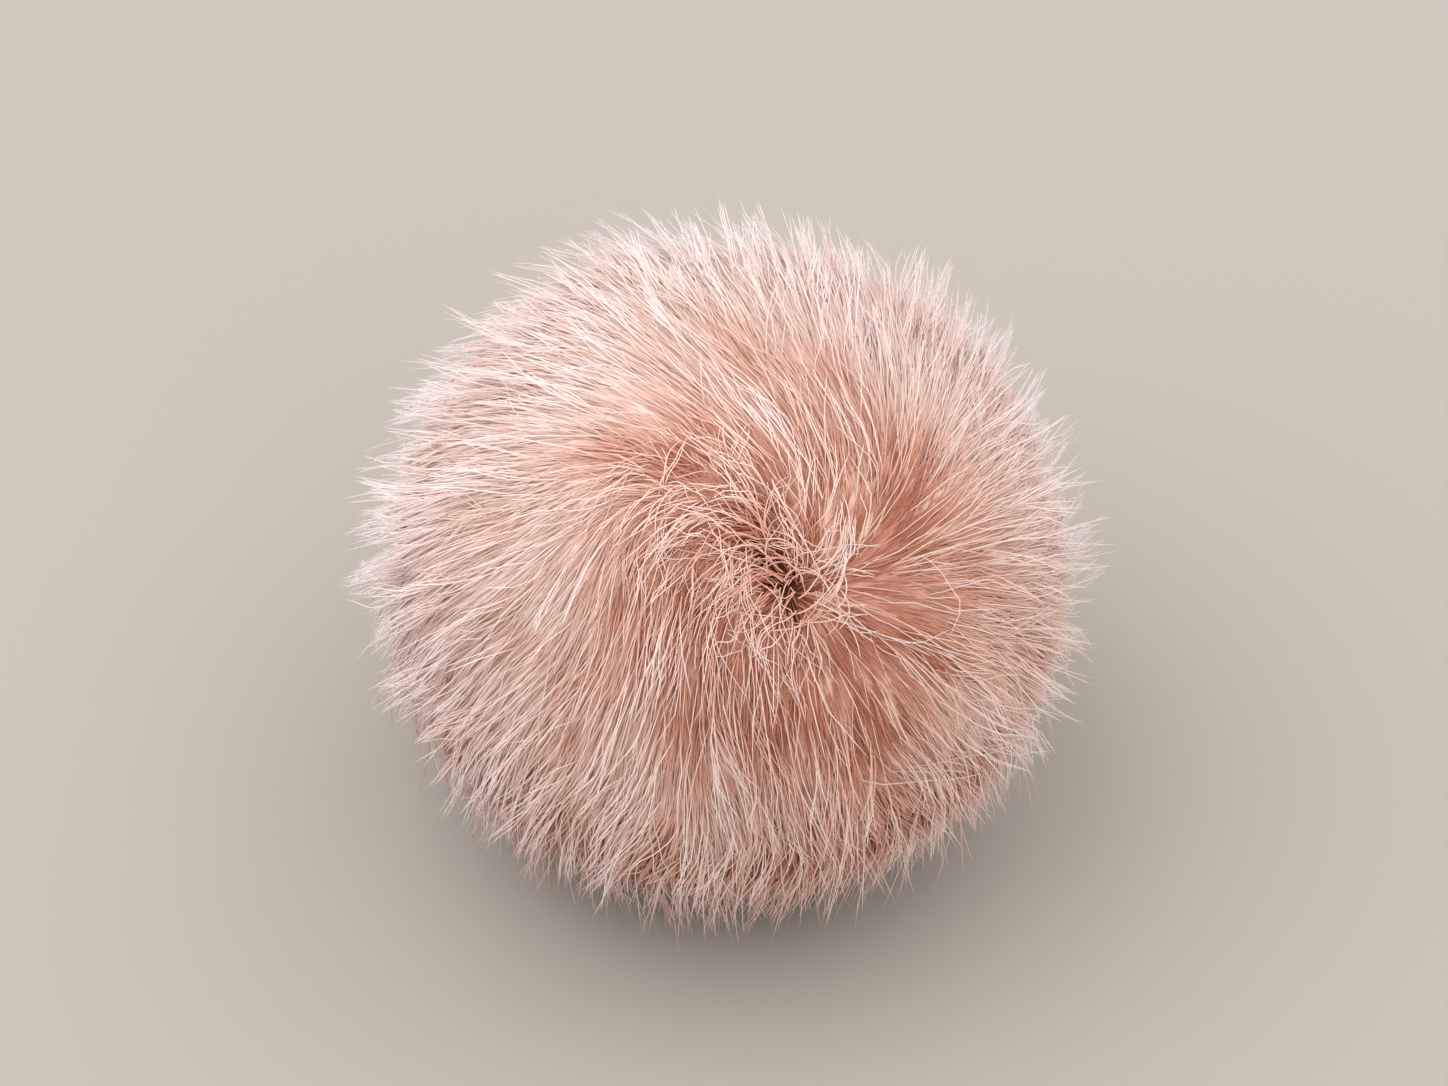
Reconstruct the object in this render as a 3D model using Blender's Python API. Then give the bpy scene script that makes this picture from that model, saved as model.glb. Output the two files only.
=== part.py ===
"""A fur pom pom: one ball of long soft hair, brushed away from a whorl on its front.

Metres, +Z up, front towards -Y. The origin is at the middle of the ball's footprint,
on the flat spot that the ball rests on. The ball is modelled as one solid: an upright
ellipsoid whose surface carries the locks that the hair gathers into, a dent at the
whorl and the partings that run out of it.
"""
import math
import random
from collections import namedtuple

import bmesh
import bpy
from mathutils import Vector

NODE = "fur_ball"

# The ball between its locks
BALL_WIDTH = 0.0700        # across, in the furrows between the locks
BALL_HEIGHT = 0.0650       # upright, before the foot is cut flat
FOOT_RADIUS = 0.0125       # the spot where the hair is pressed flat under the ball

# The whorl, where the hair parts and starts to flow round to the far side
WHORL_RISE = 39.0          # degrees above the horizon, seen from the ball's centre
WHORL_TURN = 15.5          # degrees from the front towards +X
WHORL_DEPTH = 0.0035       # how far its middle is sunk
WHORL_REACH = 8.0          # degrees from its middle to where most of the dent is gone
SWIRL = 16.0               # degrees that the hair turns about the whorl on its way round

# Rings of locks from the whorl to the far side. Angles are in degrees from the whorl's
# axis, and the rise is how far a lock's crest stands above the furrows, in metres.
LockRing = namedtuple("LockRing", "root_angle tip_angle locks rise")
LOCK_RINGS = (
    LockRing(root_angle=5, tip_angle=29, locks=7, rise=0.0016),
    LockRing(root_angle=17, tip_angle=47, locks=12, rise=0.0028),
    LockRing(root_angle=34, tip_angle=66, locks=16, rise=0.0038),
    LockRing(root_angle=52, tip_angle=85, locks=20, rise=0.0046),
    LockRing(root_angle=71, tip_angle=104, locks=21, rise=0.0050),
    LockRing(root_angle=90, tip_angle=123, locks=20, rise=0.0048),
    LockRing(root_angle=109, tip_angle=142, locks=17, rise=0.0044),
    LockRing(root_angle=128, tip_angle=160, locks=13, rise=0.0038),
    LockRing(root_angle=147, tip_angle=176, locks=8, rise=0.0032),
)
LOCK_OVERLAP = 1.25        # a lock's width, as a share of its place in the ring
LOCK_SKEW = 1.9            # above 1, a lock's crest lies nearer to its tip than its root
LOCK_SPREAD = 0.22         # how far a lock strays sideways, as a share of its place
LOCK_STAGGER = 4.0         # degrees by which a lock starts early or late
LOCK_UNEVENNESS = 0.30     # how much the rise differs from lock to lock
LOCK_SEED = 11

# Partings in the hair. A bearing is measured about the whorl from straight up the ball
# towards +X; the other angles run along the surface from the whorl's middle.
Parting = namedtuple("Parting", "bearing start end half_width depth")
PARTINGS = (
    Parting(bearing=-42, start=2, end=34, half_width=6, depth=0.0022),
    Parting(bearing=48, start=12, end=34, half_width=7, depth=0.0014),
    Parting(bearing=205, start=8, end=30, half_width=8, depth=0.0014),
    Parting(bearing=2, start=18, end=36, half_width=5, depth=0.0012),
)

# Under the ball the locks are pressed away: none within the first angle of straight
# down, all of their rise from the second
PRESSED_ANGLE = 24.0
FREE_ANGLE = 52.0
FOOT_SNAP = 0.0002         # corners this near to the foot's plane are brought onto it
CUT_TOLERANCE = 0.000001   # and the cut takes corners this near as on the plane

# The mesh runs in rings about the whorl's axis
BANDS = 42
COLUMNS = 88
SHARP_ANGLE = 45.0

HAIR_COLOR = (0.70, 0.45, 0.39, 1.0)
HAIR_ROUGHNESS = 0.9
HAIR_SHEEN = 0.5

HALF_WIDTH = BALL_WIDTH / 2
HALF_HEIGHT = BALL_HEIGHT / 2
CENTRE_HEIGHT = HALF_HEIGHT * math.sqrt(1 - (FOOT_RADIUS / HALF_WIDTH) ** 2)

Lock = namedtuple("Lock", "azimuth root tip half_width rise")


def remove_scene_objects():
    """Empty the scene that Blender starts with."""
    for old in list(bpy.data.objects):
        bpy.data.objects.remove(old, do_unlink=True)


def smooth_step(low, high, value):
    """0 below low, 1 above high, and a soft curve between them."""
    share = min(max((value - low) / (high - low), 0.0), 1.0)
    return share * share * (3 - 2 * share)


def whorl_axes():
    """The whorl's outward axis, then straight up the ball and towards +X from it."""
    rise = math.radians(WHORL_RISE)
    turn = math.radians(WHORL_TURN)
    outward = Vector((math.sin(turn) * math.cos(rise), -math.cos(turn) * math.cos(rise), math.sin(rise)))
    sideways = Vector((0, 0, 1)).cross(outward).normalized()
    return outward, outward.cross(sideways), sideways


def lay_out_locks():
    """Every lock of every ring, each a little off its even place."""
    dice = random.Random(LOCK_SEED)
    locks = []
    for ring in LOCK_RINGS:
        place = math.tau / ring.locks
        ring_start = dice.uniform(0, place)
        for index in range(ring.locks):
            stray = dice.uniform(-LOCK_SPREAD, LOCK_SPREAD) * place
            stagger = math.radians(dice.uniform(-LOCK_STAGGER, LOCK_STAGGER))
            rise = ring.rise * (1 + dice.uniform(-LOCK_UNEVENNESS, LOCK_UNEVENNESS))
            locks.append(Lock(
                azimuth=ring_start + index * place + stray,
                root=math.radians(ring.root_angle) + stagger,
                tip=math.radians(ring.tip_angle) + stagger,
                half_width=place * LOCK_OVERLAP / 2,
                rise=rise))
    return locks


def lock_height(lock, polar, azimuth):
    """How far one lock lifts the surface: a leaf shape, widest at its root."""
    along = (polar - lock.root) / (lock.tip - lock.root)
    if not 0 < along < 1:
        return 0.0
    aside = math.remainder(azimuth - lock.azimuth, math.tau)
    across = abs(aside) / (lock.half_width * math.sqrt(1 - along ** 3))
    if across >= 1:
        return 0.0
    return lock.rise * math.sin(math.pi * along ** LOCK_SKEW) * math.cos(across * math.pi / 2) ** 2


def parting_depth(parting, polar, bearing):
    """How far one parting sinks the surface."""
    start = math.radians(parting.start)
    end = math.radians(parting.end)
    if not start < polar < end:
        return 0.0
    aside = math.remainder(bearing - math.radians(parting.bearing), math.tau) * math.sin(polar)
    across = abs(aside) / math.radians(parting.half_width)
    if across >= 1:
        return 0.0
    along = (polar - start) / (end - start)
    return parting.depth * math.sin(math.pi * along) * math.cos(across * math.pi / 2) ** 2


def surface_point(polar, azimuth, axes, locks):
    """The surface's point at an angle from the whorl's axis and an azimuth about it."""
    outward, upward, sideways = axes
    bearing = azimuth + math.radians(SWIRL) * polar / math.pi
    ray = outward * math.cos(polar)
    ray += (upward * math.cos(bearing) + sideways * math.sin(bearing)) * math.sin(polar)
    plain = 1 / math.sqrt((ray.x ** 2 + ray.y ** 2) / HALF_WIDTH ** 2 + ray.z ** 2 / HALF_HEIGHT ** 2)
    below = math.degrees(math.acos(min(max(-ray.z, -1.0), 1.0)))
    lifted = max(lock_height(lock, polar, azimuth) for lock in locks)
    sunk = WHORL_DEPTH * math.exp(-(math.degrees(polar) / WHORL_REACH) ** 2)
    sunk += sum(parting_depth(parting, polar, bearing) for parting in PARTINGS)
    radius = plain + lifted * smooth_step(PRESSED_ANGLE, FREE_ANGLE, below) - sunk
    return ray * radius + Vector((0, 0, CENTRE_HEIGHT))


def build_ball_mesh():
    """The whole ball about its own centre line, closed, with its foot cut flat at z = 0."""
    axes = whorl_axes()
    locks = lay_out_locks()
    mesh = bmesh.new()
    near_pole = mesh.verts.new(surface_point(0.0, 0.0, axes, locks))
    far_pole = mesh.verts.new(surface_point(math.pi, 0.0, axes, locks))
    rings = []
    for band in range(1, BANDS):
        polar = math.pi * band / BANDS
        rings.append([
            mesh.verts.new(surface_point(polar, math.tau * column / COLUMNS, axes, locks))
            for column in range(COLUMNS)])
    for column in range(COLUMNS):
        following = (column + 1) % COLUMNS
        mesh.faces.new((near_pole, rings[0][column], rings[0][following]))
        mesh.faces.new((far_pole, rings[-1][following], rings[-1][column]))
        for nearer, farther in zip(rings, rings[1:]):
            mesh.faces.new((nearer[column], farther[column], farther[following], nearer[following]))
    bmesh.ops.triangulate(mesh, faces=mesh.faces[:])
    cut_foot_flat(mesh)
    bmesh.ops.recalc_face_normals(mesh, faces=mesh.faces[:])
    return mesh


def cut_foot_flat(mesh):
    """Take off what lies below z = 0 and close the ball there with one flat face."""
    for vertex in mesh.verts:
        if abs(vertex.co.z) < FOOT_SNAP:
            vertex.co.z = 0.0
    everything = mesh.verts[:] + mesh.edges[:] + mesh.faces[:]
    cut = bmesh.ops.bisect_plane(
        mesh, geom=everything, dist=CUT_TOLERANCE, plane_co=(0, 0, 0), plane_no=(0, 0, 1), clear_inner=True)
    rim = [piece for piece in cut["geom_cut"] if isinstance(piece, bmesh.types.BMEdge)]
    bmesh.ops.edgeloop_fill(mesh, edges=rim)


def centre_footprint(mesh):
    """Move the ball sideways until its origin is at the middle of its footprint."""
    for axis in (0, 1):
        places = [vertex.co[axis] for vertex in mesh.verts]
        middle = (min(places) + max(places)) / 2
        for vertex in mesh.verts:
            vertex.co[axis] -= middle


def hair_material():
    """Soft, matt, dusty pink hair."""
    material = bpy.data.materials.new("hair")
    material.use_nodes = True
    surface = material.node_tree.nodes["Principled BSDF"]
    surface.inputs["Base Color"].default_value = HAIR_COLOR
    surface.inputs["Roughness"].default_value = HAIR_ROUGHNESS
    surface.inputs["Metallic"].default_value = 0.0
    surface.inputs["Sheen Weight"].default_value = HAIR_SHEEN
    return material


def make_fur_ball():
    """The pom pom's one piece."""
    shape = build_ball_mesh()
    centre_footprint(shape)
    mesh = bpy.data.meshes.new(NODE)
    shape.to_mesh(mesh)
    shape.free()
    mesh.shade_smooth()
    mesh.set_sharp_from_angle(angle=math.radians(SHARP_ANGLE))
    mesh.materials.append(hair_material())
    ball = bpy.data.objects.new(NODE, mesh)
    bpy.context.scene.collection.objects.link(ball)
    return ball


remove_scene_objects()
make_fur_ball()
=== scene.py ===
"""The pom pom's looks: an undercoat combed into fine lines, and coats of modelled hair over it.

Every hair is a closed, tapering, three-sided tube. Hairs grow in tufts, tufts gather into
locks, and all of them follow one flow that starts at the whorl and its parting and runs
round to the far side of the ball. A ray is a unit vector outward from the ball's centre,
its height is its z, and its lowness is the same the other way up.
"""
import math
from collections import namedtuple

import bpy
import numpy as np
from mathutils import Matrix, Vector


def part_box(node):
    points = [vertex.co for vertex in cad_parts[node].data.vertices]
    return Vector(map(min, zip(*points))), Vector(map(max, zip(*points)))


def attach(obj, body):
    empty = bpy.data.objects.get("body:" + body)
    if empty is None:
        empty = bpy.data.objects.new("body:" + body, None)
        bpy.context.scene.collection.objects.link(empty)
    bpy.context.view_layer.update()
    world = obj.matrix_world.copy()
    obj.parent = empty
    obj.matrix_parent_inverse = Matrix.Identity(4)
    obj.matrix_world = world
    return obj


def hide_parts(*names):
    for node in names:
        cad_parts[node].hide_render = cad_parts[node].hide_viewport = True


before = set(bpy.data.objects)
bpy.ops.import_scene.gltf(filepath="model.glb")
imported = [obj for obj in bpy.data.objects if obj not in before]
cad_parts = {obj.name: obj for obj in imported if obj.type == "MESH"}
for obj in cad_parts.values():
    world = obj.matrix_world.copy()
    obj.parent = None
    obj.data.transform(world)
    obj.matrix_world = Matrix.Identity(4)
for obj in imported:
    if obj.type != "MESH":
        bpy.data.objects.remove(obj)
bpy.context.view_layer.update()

SEED = 4207
TINY = 1e-9                # lengths below this are taken as no length

# What comes in gradually: none of it up to the start, and the most of it from the end on
Onset = namedtuple("Onset", "start end most")

# --- The ball ------------------------------------------------------------------------
# Its dense hair ends a little inside the CAD solid's box, which holds the locks' tips
TIP_RISE = 0.0049
FOOT_CORNER, CROWN_CORNER = (Vector(corner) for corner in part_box("fur_ball"))
CENTRE_HEIGHT = 0.0304
CENTRE = np.array([0.0, 0.0, CENTRE_HEIGHT])
HALF_WIDTH = (CROWN_CORNER.x - FOOT_CORNER.x) / 2 - TIP_RISE
HALF_HEIGHT = CROWN_CORNER.z - CENTRE_HEIGHT - TIP_RISE
FLOOR_GAP = 0.0002         # the lowest hairs lie this far above the surface
FLOOR_PILE = 0.0008        # or up to this much more

# --- The whorl and the parting that runs out of it ---------------------------------------
# Bearings are about the whorl's axis, from straight up the ball towards +X. Angles from
# the whorl run along the surface. All are in degrees.
WHORL_RISE = 39.0          # above the horizon
WHORL_TURN = 15.5          # from the front towards +X
PartingStep = namedtuple("PartingStep", "from_whorl bearing")
PARTING = (
    PartingStep(from_whorl=0, bearing=-17),
    PartingStep(from_whorl=12, bearing=-17),
    PartingStep(from_whorl=22, bearing=-34),
    PartingStep(from_whorl=33, bearing=-44),
)
PARTING_POINTS = 34        # rays that stand for the parting where angles to it are measured
PARTING_SIDE = Onset(start=-4, end=6, most=1.0)    # from its right side to its left

# Places where the hair opens and the coat is sunk, or stands proud where the depth is
# negative, by a share of the ball's radius
Dip = namedtuple("Dip", "from_whorl bearing reach depth")
DIPS = (
    Dip(from_whorl=2, bearing=-10, reach=4, depth=0.060),
    Dip(from_whorl=4, bearing=180, reach=3, depth=0.050),
    Dip(from_whorl=7, bearing=-35, reach=3, depth=0.035),
    Dip(from_whorl=11, bearing=-22, reach=6, depth=0.035),
    Dip(from_whorl=13, bearing=153, reach=4, depth=0.035),
    Dip(from_whorl=18, bearing=-91, reach=4, depth=0.035),
    Dip(from_whorl=20, bearing=-4, reach=4, depth=0.020),
    Dip(from_whorl=22, bearing=45, reach=7, depth=-0.008),
    Dip(from_whorl=24, bearing=68, reach=4, depth=0.020),
    Dip(from_whorl=24, bearing=-166, reach=5, depth=0.035),
    Dip(from_whorl=28, bearing=-142, reach=4, depth=0.025),
    Dip(from_whorl=30, bearing=-84, reach=4, depth=0.022),
    Dip(from_whorl=33, bearing=-26, reach=5, depth=0.035),
    Dip(from_whorl=33, bearing=156, reach=5, depth=0.028),
    Dip(from_whorl=36, bearing=92, reach=4, depth=0.032),
    Dip(from_whorl=39, bearing=61, reach=5, depth=0.025),
    Dip(from_whorl=42, bearing=-42, reach=5, depth=0.040),
    Dip(from_whorl=43, bearing=-102, reach=5, depth=0.022),
    Dip(from_whorl=44, bearing=27, reach=5, depth=0.022),
    Dip(from_whorl=46, bearing=112, reach=7, depth=0.022),
    Dip(from_whorl=46, bearing=4, reach=5, depth=0.030),
    Dip(from_whorl=49, bearing=-115, reach=4, depth=0.030),
    Dip(from_whorl=52, bearing=-89, reach=4, depth=0.030),
    Dip(from_whorl=56, bearing=-68, reach=4, depth=0.030),
)

# A patch with few long hairs, where the soft coat under them shows
Patch = namedtuple("Patch", "from_whorl bearing reach")
SOFT_PATCH = Patch(from_whorl=22, bearing=45, reach=7)

# --- The hair's flow ---------------------------------------------------------------------
# How many degrees the hair turns left of straight away from the whorl, as seen from outside
SWIRL = 10.0
SWIRL_SWAY = 15.0          # how much more that is on one side, and less on the other
SWIRL_BEARING = -50.0      # the side where it is most

# Places where it turns more than that
Twist = namedtuple("Twist", "from_whorl bearing reach turn")
TWISTS = (
    Twist(from_whorl=34, bearing=-132, reach=20, turn=13),
    Twist(from_whorl=31, bearing=38, reach=18, turn=25),
)
# Left of the parting it turns far more, so it runs down the ball, across the rest
COWLICK = Twist(from_whorl=28, bearing=-67, reach=19, turn=62)

# How strongly weight turns the hair down: on the far side, by the angle from the whorl in
# radians, and on the ball's lower part, by lowness
DROOP = Onset(start=math.radians(80), end=math.radians(140), most=0.30)
HANG = Onset(start=0.10, end=0.50, most=3.0)


def unit(vectors):
    """Vectors scaled to length 1, with a vector of length 0 left as it is."""
    length = np.linalg.norm(vectors, axis=-1, keepdims=True)
    return vectors / np.maximum(length, TINY)


def smooth_step(low, high, values):
    """0 below low, 1 above high, with a soft curve between them."""
    share = np.clip((values - low) / (high - low), 0.0, 1.0)
    return share * share * (3 - 2 * share)


def gradual(onset, values):
    """How much there is, at the values, of what comes in gradually."""
    return onset.most * smooth_step(onset.start, onset.end, values)


def lowness(rays):
    """-1 for a ray straight up, 0 for a level one and 1 for one straight down."""
    return -rays[..., 2]


RISE, TURN = math.radians(WHORL_RISE), math.radians(WHORL_TURN)
OUTWARD = np.array([math.sin(TURN) * math.cos(RISE), -math.cos(TURN) * math.cos(RISE), math.sin(RISE)])
SIDEWAYS = unit(np.cross([0.0, 0.0, 1.0], OUTWARD))
UPWARD = np.cross(OUTWARD, SIDEWAYS)


def whorl_angles(rays):
    """Each ray's angle from the whorl's axis and its bearing, in radians."""
    polar = np.arccos(np.clip(rays @ OUTWARD, -1.0, 1.0))
    return polar, np.arctan2(rays @ SIDEWAYS, rays @ UPWARD)


def whorl_rays(polar, bearing):
    """The rays at angles from the whorl's axis and bearings about it, in radians."""
    polar, bearing = np.asarray(polar)[..., None], np.asarray(bearing)[..., None]
    around = UPWARD * np.cos(bearing) + SIDEWAYS * np.sin(bearing)
    return OUTWARD * np.cos(polar) + around * np.sin(polar)


def parting_bearing(from_whorl):
    """The bearing of the parting, and of its line onwards, at angles from the whorl."""
    return np.interp(from_whorl, [step.from_whorl for step in PARTING], [step.bearing for step in PARTING])


def parting_rays():
    """Rays at close steps along the parting."""
    steps = np.linspace(0, PARTING[-1].from_whorl, PARTING_POINTS)
    return whorl_rays(np.radians(steps), np.radians(parting_bearing(steps)))


PARTING_RAYS = parting_rays()


def nearest_parting(rays):
    """The angle from each ray to the parting, in degrees."""
    closeness = (rays @ PARTING_RAYS.T).max(axis=-1)
    return np.degrees(np.arccos(np.clip(closeness, -1.0, 1.0)))


def left_of_parting(polar, bearing):
    """0 to the right of the parting and of its line onwards, and 1 to its left."""
    distance = np.degrees(polar)
    aside = distance * np.sin(np.radians(parting_bearing(distance)) - bearing)
    return gradual(PARTING_SIDE, aside)


def near(rays, place):
    """1 at the middle of a dip, patch or twist, and less the further a ray is from it."""
    middle = whorl_rays(math.radians(place.from_whorl), math.radians(place.bearing))
    angle = np.degrees(np.arccos(np.clip(rays @ middle, -1.0, 1.0)))
    return np.exp(-(angle / place.reach) ** 2)


class Ripples:
    """A smooth field over the ball, mostly between -1 and 1: the sum of a few plane waves."""

    WAVES = 14
    FREQUENCY_SPREAD = (0.6, 1.4)

    def __init__(self, seed, frequency):
        dice = np.random.default_rng(seed)
        headings = unit(dice.normal(size=(self.WAVES, 3)))
        self.waves = headings * frequency * dice.uniform(*self.FREQUENCY_SPREAD, (self.WAVES, 1))
        self.phases = dice.uniform(0, math.tau, self.WAVES)
        self.scale = math.sqrt(2 / self.WAVES)

    def __call__(self, places):
        return np.sin(places @ self.waves.T + self.phases).sum(axis=-1) * self.scale


FLOW_RIPPLES = Ripples(SEED + 1, frequency=7.0)
FINE_FLOW_RIPPLES = Ripples(SEED + 2, frequency=17.0)
TINT_RIPPLES = Ripples(SEED + 3, frequency=9.0)
SHAPE_RIPPLES = Ripples(SEED + 4, frequency=5.5)
STREAK_RIPPLES = Ripples(SEED + 5, frequency=1.0)
FLOW_UNEVENNESS = 8.0      # degrees
FINE_FLOW_UNEVENNESS = 7.0
SHAPE_UNEVENNESS = 0.006   # as a share of the ball's radius

COMBED = Onset(start=-0.1, end=0.55, most=0.7)         # by height, on top of the ball
# Paleness is partly painted light: paler away from the whorl for the hair's own paler tips and a painted
# glow at the bright rim, and paler on top, where light falls
PALE_AWAY = Onset(start=8, end=55, most=1.0)           # by degrees from the whorl
PAINTED_LIGHT_ABOVE = Onset(start=-0.48, end=0.38, most=0.90)   # by height
LEAST_PALE = 0.10


def ruffle(rays):
    """How unevenly the hair lies: combed smooth on top, and ruffled lower down."""
    return 1 - gradual(COMBED, rays[..., 2])


def paleness_with_painted_light(rays):
    """0 where the hair is rosiest, round the whorl and low down, and 1 where it is palest: partly the hair's
    own paler tips, and partly painted light on top and at the rim.
    """
    polar, _ = whorl_angles(rays)
    return gradual(PALE_AWAY, np.degrees(polar)) * (LEAST_PALE + gradual(PAINTED_LIGHT_ABOVE, rays[..., 2]))


def sinking(rays):
    """How far the coat is sunk at each ray, as a share of the ball's radius."""
    return sum(dip.depth * near(rays, dip) for dip in DIPS)


def even_radius(rays):
    """From the ball's centre to the outside of its dense hair, were it even all over."""
    level = (rays[..., 0] ** 2 + rays[..., 1] ** 2) / HALF_WIDTH ** 2
    return 1 / np.sqrt(level + rays[..., 2] ** 2 / HALF_HEIGHT ** 2)


def dense_radius(rays, sunk=1.0):
    """The same with its dips and unevenness. sunk is how much of the dips' depth it takes."""
    return even_radius(rays) * (1 - sunk * sinking(rays) + SHAPE_UNEVENNESS * SHAPE_RIPPLES(rays))


def turned(along, rays, degrees):
    """Directions along the surface, turned left as seen from outside."""
    angle = np.radians(degrees)[..., None]
    return along * np.cos(angle) + np.cross(rays, along) * np.sin(angle)


def flow(rays):
    """The direction along the surface in which the hair lies, for each ray."""
    polar, bearing = whorl_angles(rays)
    around = UPWARD * np.cos(bearing)[..., None] + SIDEWAYS * np.sin(bearing)[..., None]
    away = around * np.cos(polar)[..., None] - OUTWARD * np.sin(polar)[..., None]
    turn = SWIRL + SWIRL_SWAY * np.cos(bearing - math.radians(SWIRL_BEARING))
    turn = turn + sum(twist.turn * near(rays, twist) for twist in TWISTS)
    turn = turn + COWLICK.turn * near(rays, COWLICK) * left_of_parting(polar, bearing)
    ripples = FLOW_UNEVENNESS * FLOW_RIPPLES(rays) + FINE_FLOW_UNEVENNESS * FINE_FLOW_RIPPLES(rays)
    along = turned(away, rays, turn + ripples * ruffle(rays))
    pull = gradual(DROOP, polar) + gradual(HANG, lowness(rays))
    down = np.array([0.0, 0.0, -1.0]) + rays * rays[..., 2:3]
    return unit(along + pull[..., None] * down)


def level_rays(height, turn):
    """The rays at heights from -1 to 1 and turns about the upright, in radians."""
    level = np.sqrt(1 - height ** 2)
    return np.stack([level * np.cos(turn), level * np.sin(turn), height], axis=-1)


def spread_rays(count):
    """Rays spread evenly over the ball: a spiral that turns by the golden angle at each."""
    index = np.arange(count) + 0.5
    return level_rays(1 - 2 * index / count, index * math.pi * (3 - math.sqrt(5)))


# --- Growing tufts --------------------------------------------------------------------------
SAMPLES = 13               # points on a tuft's path
ROOT_SHARE = 0.960         # where paths start, as a share of the dense radius

TANGLE_TURN = 26.0         # how much tufts cross each other where they are tangled, in degrees
TANGLE_REACH = 6.5         # degrees from the parting
TANGLE_FADE = Onset(start=0, end=26, most=0.75)        # by degrees from the whorl
UPRIGHT_REACH = 0.70       # the share of its reach that a tuft has beside the parting
REACH_GAIN = Onset(start=0, end=20, most=0.30)         # by degrees from the parting
GATHER_SPREAD = (0.25, 1.0)
GATHER_CURVE = 1.3         # above 1, tufts are drawn to their locks mostly near their tips

# How one kind of tuft grows. Pairs are the limits of even draws, except tint, which is a
# mean and a spread. Scatter, turn and curl are spreads too, the last two in degrees. The
# rest is as grow says, or:
# - lean: above 1, most tips are near the lower limit
# - follow, gather: how much it takes of its lock's turn, and how far it is drawn to it
# - thinning, loose_thinning, patch_thinning: the share of its hairs that are missing low on
#   the ball (by lowness), where it is tangled, and on the soft patch
Growth = namedtuple(
    "Growth",
    "count scatter reach tip lift turn curl tint lean follow gather thinning loose_thinning patch_thinning",
    defaults=(0, (0.0, 0.0), 1.0, 0.0, 0.0, Onset(start=0, end=1, most=0.0), 0.0, 0.0))
LOCKS = Growth(
    count=900, scatter=0.03, reach=(0.30, 0.42), tip=(1.00, 1.05), lift=(0.9, 1.2), turn=8, tint=(0.0, 0.10))
SHORT_TUFTS = Growth(
    count=9000, scatter=0.02, reach=(0.16, 0.26), tip=(0.980, 1.01), lift=(0.7, 1.0), turn=5, follow=0.5,
    gather=0.3, thinning=Onset(start=-0.10, end=0.40, most=0.70), loose_thinning=0.75)
TUFTS = Growth(
    count=3400, scatter=0.02, reach=(0.26, 0.42), tip=(0.985, 1.075), lift=(0.8, 1.2), turn=12, lean=1.3,
    follow=1.0, gather=0.15, thinning=Onset(start=-0.05, end=0.35, most=0.6), loose_thinning=0.7,
    patch_thinning=0.6)
WISPS = Growth(
    count=4600, scatter=0.04, reach=(0.18, 0.32), tip=(1.015, 1.18), lift=(0.9, 1.2), turn=7, curl=10,
    tint=(0.10, 0.08), lean=2.0, thinning=Onset(start=-0.10, end=0.55, most=0.95), patch_thinning=0.6)
FRINGE = Growth(
    count=1700, scatter=0.0, reach=(0.36, 0.62), tip=(1.04, 1.17), lift=(1.6, 2.4), turn=6, curl=8,
    tint=(-0.05, 0.10))
TANGLE = Growth(
    count=220, scatter=0.075, reach=(0.12, 0.27), tip=(0.985, 1.03), lift=(0.5, 1.0), turn=34, curl=38,
    tint=(0.0, 0.10))
STRAYS = Growth(
    count=300, scatter=0.1, reach=(0.30, 0.50), tip=(1.00, 1.08), lift=(0.5, 1.0), turn=22, curl=15,
    tint=(0.10, 0.0), thinning=Onset(start=0.3, end=0.8, most=1.0))

LOOSE_WISP_DROP = 0.06     # how much lower wisps' tips are where the hair is tangled
LOW_WISP_DROP = Onset(start=-0.2, end=0.4, most=0.05)  # and by lowness
LEAST_WISPS = 0.15         # the share of wisps that is left round the whorl
WISPS_AWAY = Onset(start=40, end=70, most=0.85)        # and the rest, by degrees from it
TANGLE_CROWDING = 2.2      # above 1, the tangle is fullest at the whorl
TANGLE_SUNK = 0.6          # the tangle lies over the dips: it takes this share of their depth
FRINGE_HEIGHTS = (-0.62, -0.05)


def grow(rays, reach, tip_share, lift, turn, curl=0.0, sunk=1.0):
    """Tufts' paths from the ball's centre, (count, SAMPLES, 3).

    reach is the angle that a path covers along the surface, in radians. tip_share is how
    far out its tip is, as a share of the dense radius. lift is below 1 for hair that stands
    up at its root, and above 1 for hair that lies down first. turn is how far it is off the
    flow, in degrees, and curl how much further it has turned at its tip.
    """
    path = np.empty((len(rays), SAMPLES, 3))
    path[:, 0] = rays
    for step in range(1, SAMPLES):
        ray = path[:, step - 1]
        along = turned(flow(ray), ray, turn + curl * step / SAMPLES)
        path[:, step] = unit(ray + along * (reach / (SAMPLES - 1))[:, None])
    share = np.linspace(0, 1, SAMPLES)[None, :]
    out = ROOT_SHARE + (tip_share[:, None] - ROOT_SHARE) * share ** lift[:, None]
    return path * (dense_radius(path, sunk) * out)[..., None]


def tangle(rays):
    """1 where hair stands tangled, at the whorl and along the parting, and 0 elsewhere."""
    polar, _ = whorl_angles(rays)
    strength = 1 - gradual(TANGLE_FADE, np.degrees(polar))
    return strength * np.exp(-(nearest_parting(rays) / TANGLE_REACH) ** 2)


def freedom(rays):
    """How much of its full reach a tuft has: hair beside the parting stands more upright."""
    return UPRIGHT_REACH + gradual(REACH_GAIN, nearest_parting(rays))


def scattered(dice, rays, scatter):
    """Rays moved off their places at random."""
    return unit(rays + dice.normal(scale=scatter, size=rays.shape))


def tip_shares(dice, growth):
    """How far out each tuft's tip is."""
    low, high = growth.tip
    return low + (high - low) * dice.uniform(0, 1, growth.count) ** growth.lean


# What hairs follow: where each tuft is rooted, its path, its tint and how full it is
Tufts = namedtuple("Tufts", "rays paths tint fullness")
# What tufts gather to: the locks' rays, paths, turns off the flow and tints
Locks = namedtuple("Locks", "rays paths turn tint")


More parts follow.
